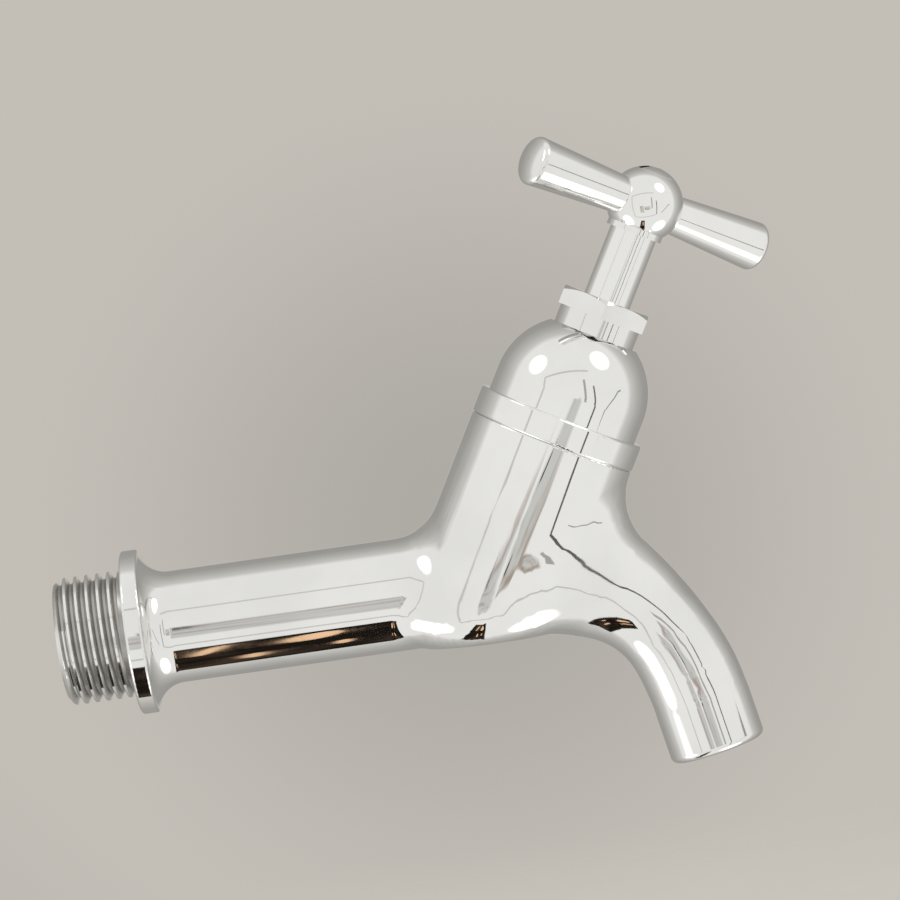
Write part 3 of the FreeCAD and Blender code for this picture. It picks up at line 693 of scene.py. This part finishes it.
def paintWorld():
    # white in front of the tap, darker towards the back, and the backdrop behind it
    world = bpy.data.worlds.new("soft_studio")
    bpy.context.scene.world = world
    world.use_nodes = True
    tree = world.node_tree
    direction = addNode(tree, "ShaderNodeTexCoord").outputs["Generated"]
    forward = sums(tree, "MULTIPLY", apart(tree, direction)["Y"], -1.0)
    turn = sums(tree, "DIVIDE", sums(tree, "ARCCOSINE", forward), math.pi)
    ramp = addNode(tree, "ShaderNodeValToRGB", None, {0: turn})
    stops = studio["stops"]
    elements = ramp.color_ramp.elements
    for element, (place, name) in zip(elements, (stops[0], stops[-1])):
        element.position = place
        element.color = studio[name]
    for place, name in stops[1:-1]:
        elements.new(place).color = studio[name]
    # painted shadow: the backdrop is a little darker behind the tap, as if the tap shaded it
    aside = awayFrom(tree, direction, studio["behind"])
    hollow = spread(tree, aside, studio["hollowSpan"], 1.0, 0.0)
    tint = blendColours(tree, hollow, ramp.outputs["Color"], studio["hollow"])
    feed(tree, tree.nodes["Background"], {"Color": tint, "Strength": 1.0})


# four lamps at the corners of the light tent; the glow is what the plate shows of them
lamps = {
    "upper_left": {"place": (-0.33, -0.25, 0.52), "size": 0.36, "power": 0.36, "glow": 2.6},
    "upper_right": {"place": (0.55, -0.23, 0.44), "size": 0.36, "power": 0.36, "glow": 2.6},
    "lower_left": {"place": (-0.42, -0.16, -0.34), "size": 0.44, "power": 0.26, "glow": 2.4},
    "lower_right": {"place": (0.36, -0.06, -0.54), "size": 0.44, "power": 0.26, "glow": 2.4},
}
glowSegments = 48
glowCore = 0.25
glowRim = 0.5


def hangLamps():
    for name, lamp in lamps.items():
        light = bpy.data.lights.new("lamp_" + name, "AREA")
        light.shape = "DISK"
        light.size = lamp["size"]
        light.energy = lamp["power"]
        hung = bpy.data.objects.new("lamp_" + name, light)
        hung.location = lamp["place"]
        hung.rotation_mode = "QUATERNION"
        hung.rotation_quaternion = (setCentre - Vector(lamp["place"])).to_track_quat("-Z", "Y")
        hung.visible_camera = False
        hung.visible_glossy = False
        bpy.context.scene.collection.objects.link(hung)


# cloth tent round the set, seen only in reflections: seams, zip, flap and a streak on the cloth
tent = {
    "depth": 0.50,
    "half": 0.36,
    "seam": 34 * mm,
    "seamColour": (0.60, 0.59, 0.57, 1.0),
    "zip": [(0.38, -0.50, -0.36), (0.38, -0.50, 0.10)],
    "zipWidth": 24 * mm,
    "zipColour": (0.12, 0.115, 0.105, 1.0),
    "flap": [(0.36, -0.07, -0.006), (0.36, -0.102, -0.014), (0.36, -0.201, -0.118), (0.36, -0.265, -0.198)],
    "flapWidth": 11 * mm,
    "flapColour": (0.30, 0.29, 0.275, 1.0),
    "streak": [(0.215, -0.50, -0.10), (0.235, -0.50, 0.20)],
    "streakWidth": 30 * mm,
    "streakColour": (0.40, 0.39, 0.37, 1.0),
    "layer": 0.01,                      # between cards that hang one behind the other
}
# gaps: middle across and up, width, height
gaps = {
    "left": (-0.066, -0.095, 0.13, 0.24),
    "right": (0.085, -0.075, 0.19, 0.12),
}
gapLook = {
    "colour": (0.60, 0.60, 0.58, 1.0),
    "shape": (0.38, 0.31, 0.26, 1.0),
    "rim": (0.30, 0.48),                # shares of the width or height
    "stretch": (16.0, 1.0, 30.0),
    "shapes": (1.0, 2.0, 0.5),
    "shapeSpan": (0.46, 0.66),
}
# lens and other dark spots: middle across and up, half width, half height
lens = {
    "spots": [(0.041, -0.034, 0.008, 0.004), (0.024, -0.064, 0.009, 0.007), (-0.091, -0.02, 0.003, 0.03)],
    "colour": (0.03, 0.03, 0.03, 1.0),
    "segments": 32,
}
# dark room seen through the open front, with lamps in it: place along and out, length, reach, in mm
room = {
    "top": 0.345,
    "foot": 0.06,
    "from": -62 * mm,
    "to": 29 * mm,
    "dark": (0.012, 0.009, 0.007, 1.0),
    "brown": (0.055, 0.038, 0.026, 1.0),
    "stretch": (40.0, 9.0, 1.0),
    "murk": (1.0, 2.0, 0.5),
    "murkSpan": (0.45, 0.70),
    "glints": [(-21.0, -230.0, 6.0, 150.0), (3.0, -230.0, 14.0, 130.0), (-6.0, -40.0, 6.0, 70.0),
               (13.7, -60.0, 4.0, 60.0)],
    "glint": (0.95, 0.62, 0.38, 1.0),
    "segments": 24,
}
sideways = Vector((1, 0, 0))
inward = Vector((0, 1, 0))
upward = Vector((0, 0, 1))


def addCard(bm, middle, across, along, width, length):
    # a flat card with its two sides along the given directions
    normal = across.cross(along).normalized()
    turned = Matrix((across.normalized(), along.normalized(), normal)).transposed().to_4x4()
    stretch = Matrix.Diagonal((width / 2, length / 2, 1.0, 1.0))
    place = Matrix.Translation(setCentre + middle)
    bmesh.ops.create_grid(bm, x_segments=1, y_segments=1, size=1.0, matrix=place @ turned @ stretch)


def addLine(bm, points, width):
    # a run of narrow cards that face the middle of the set and overlap a little
    overlap = width / 3
    for first, last in zip(points, points[1:]):
        middle = (Vector(first) + Vector(last)) / 2
        along = Vector(last) - Vector(first)
        addCard(bm, middle, along.cross(middle), along, width, along.length + overlap)


def addDisc(bm, segments, radius, matrix):
    bmesh.ops.create_circle(bm, cap_ends=True, segments=segments, radius=radius, matrix=matrix)


def stageCards(name, bm, material):
    mesh = bpy.data.meshes.new(name)
    bm.to_mesh(mesh)
    bm.free()
    mesh.materials.append(material)
    cards = bpy.data.objects.new(name, mesh)
    bpy.context.scene.collection.objects.link(cards)
    for rays in ("camera", "diffuse", "shadow", "transmission", "volume_scatter"):
        setattr(cards, "visible_" + rays, False)


def glowMaterial(name, colour):
    material = bpy.data.materials.new(name)
    material.use_nodes = True
    tree = material.node_tree
    tree.nodes.remove(tree.nodes["Principled BSDF"])
    glow = addNode(tree, "ShaderNodeEmission", None, {"Color": colour, "Strength": 1.0})
    feed(tree, tree.nodes["Material Output"], {"Surface": glow.outputs[0]})
    return material, tree, glow


def hangGlow(name, lamp):
    # the lamp as the plate shows it: bright in the middle, fading into the cloth
    place, size = lamp["place"], lamp["size"]
    cloth, tree, glow = glowMaterial("glow_" + name, studio["white"])
    away = awayFrom(tree, objectPlace(tree), place)
    feed(tree, glow, {"Strength": spread(tree, away, (glowCore * size, glowRim * size), lamp["glow"], 1.0)})
    bm = bmesh.new()
    facing = (setCentre - Vector(place)).to_track_quat("Z", "Y").to_matrix().to_4x4()
    addDisc(bm, glowSegments, size / 2, Matrix.Translation(place) @ facing)
    stageCards("glow_" + name, bm, cloth)


def hangGap(name, x, z, width, height):
    # a gap in the cloth beside the lens, with soft rims and dim shapes in it
    cloth, tree, glow = glowMaterial("gap_" + name, studio["white"])
    here = objectPlace(tree)
    parts = apart(tree, here)
    insides = []
    for axis, centre, size in (("X", setCentre.x + x, width), ("Z", setCentre.z + z, height)):
        reach = sums(tree, "ABSOLUTE", sums(tree, "SUBTRACT", parts[axis], centre))
        insides.append(spread(tree, reach, [share * size for share in gapLook["rim"]], 1.0, 0.0))
    mask = sums(tree, "MULTIPLY", *insides)
    shapes = noise(tree, stretched(tree, here, gapLook["stretch"]), *gapLook["shapes"])
    amount = spread(tree, shapes, gapLook["shapeSpan"], 0.0, 1.0)
    tint = blendColours(tree, amount, gapLook["colour"], gapLook["shape"])
    feed(tree, glow, {"Color": blendColours(tree, mask, studio["white"], tint)})
    bm = bmesh.new()
    addCard(bm, Vector((x, -tent["depth"] - tent["layer"], z)), sideways, upward, width, height)
    stageCards("gap_" + name, bm, cloth)


def hangSeams():
    half, depth, seam = tent["half"], tent["depth"], tent["seam"]
    bm = bmesh.new()
    for level in (-half, half):
        addCard(bm, Vector((0, -depth, level)), sideways, upward, 2 * half, seam)
    addCard(bm, Vector((-half, -depth, 0)), sideways, upward, seam, 2 * half)
    stageCards("tent_seams", bm, glowMaterial("tent_seam", tent["seamColour"])[0])
    for name in ("zip", "flap", "streak"):
        bm = bmesh.new()
        addLine(bm, tent[name], tent[name + "Width"])
        stageCards("tent_" + name, bm, glowMaterial("tent_" + name, tent[name + "Colour"])[0])


def hangSpots():
    bm = bmesh.new()
    upright = Matrix.Rotation(math.pi / 2, 4, "X")
    for x, z, halfWide, halfHigh in lens["spots"]:
        spot = Matrix.Translation(setCentre + Vector((x, -tent["depth"] + tent["layer"], z)))
        stretch = Matrix.Diagonal((halfWide, 1.0, halfHigh, 1.0))
        addDisc(bm, lens["segments"], 1.0, spot @ stretch @ upright)
    stageCards("lens_spots", bm, glowMaterial("lens_spot", lens["colour"])[0])


def openFront():
    bm = bmesh.new()
    deep = room["top"] + room["foot"]
    wide = room["to"] - room["from"]
    offset = (room["to"] + room["from"]) / 2 - setCentre.x
    middle = Vector((offset, -room["top"] + deep / 2, -tent["half"] - tent["layer"]))
    addCard(bm, middle, sideways, inward, wide, deep)
    gloom, tree, glow = glowMaterial("dark_room", room["dark"])
    shapes = noise(tree, stretched(tree, objectPlace(tree), room["stretch"]), *room["murk"])
    murk = spread(tree, shapes, room["murkSpan"], 0.0, 1.0)
    feed(tree, glow, {"Color": blendColours(tree, murk, room["dark"], room["brown"])})
    stageCards("tent_front", bm, gloom)
    # a few lamps that burn in the room beyond
    bm = bmesh.new()
    for x, y, length, reach in room["glints"]:
        stretch = Matrix.Diagonal((length * mm / 2, reach * mm / 2, 1.0, 1.0))
        spot = Matrix.Translation((x * mm, y * mm, setCentre.z - tent["half"]))
        addDisc(bm, room["segments"], 1.0, spot @ stretch)
    stageCards("room_lamps", bm, glowMaterial("room_lamps", room["glint"])[0])


def pitchTent():
    hangSeams()
    for name, lamp in lamps.items():
        hangGlow(name, lamp)
    for name, patch in gaps.items():
        hangGap(name, *patch)
    hangSpots()
    openFront()


# camera as in the photograph
shot = {
    "lookAt": Vector((55.823, 0.0, 22.285)) * mm,
    "azimuth": 2.0,
    "elevation": 2.4,
    "roll": 8.185,
    "distance": 0.9,
    "lens": 220.62,
    "sensor": 36.0,
    "clipStart": 0.01,
    "clipEnd": 50.0,
}


def setCamera():
    around, above, roll = (math.radians(shot[key]) for key in ("azimuth", "elevation", "roll"))
    right = Vector((math.cos(around), math.sin(around), 0.0))
    back = Vector((math.sin(around) * math.cos(above), -math.cos(around) * math.cos(above), math.sin(above)))
    up = back.cross(right)
    turnedRight = right * math.cos(roll) - up * math.sin(roll)
    turnedUp = right * math.sin(roll) + up * math.cos(roll)
    camera = bpy.data.objects.new("camera", bpy.data.cameras.new("camera"))
    camera.data.lens = shot["lens"]
    camera.data.sensor_width = shot["sensor"]
    camera.data.clip_start = shot["clipStart"]
    camera.data.clip_end = shot["clipEnd"]
    stand = Matrix((turnedRight, turnedUp, back)).transposed().to_4x4()
    camera.matrix_world = Matrix.Translation(shot["lookAt"] + back * shot["distance"]) @ stand
    bpy.context.scene.collection.objects.link(camera)
    bpy.context.scene.camera = camera


layFloor()
paintWorld()
hangLamps()
pitchTent()
setCamera()
bpy.context.scene.view_settings.view_transform = "Standard"
print("studio set")

bpy.context.view_layer.update()
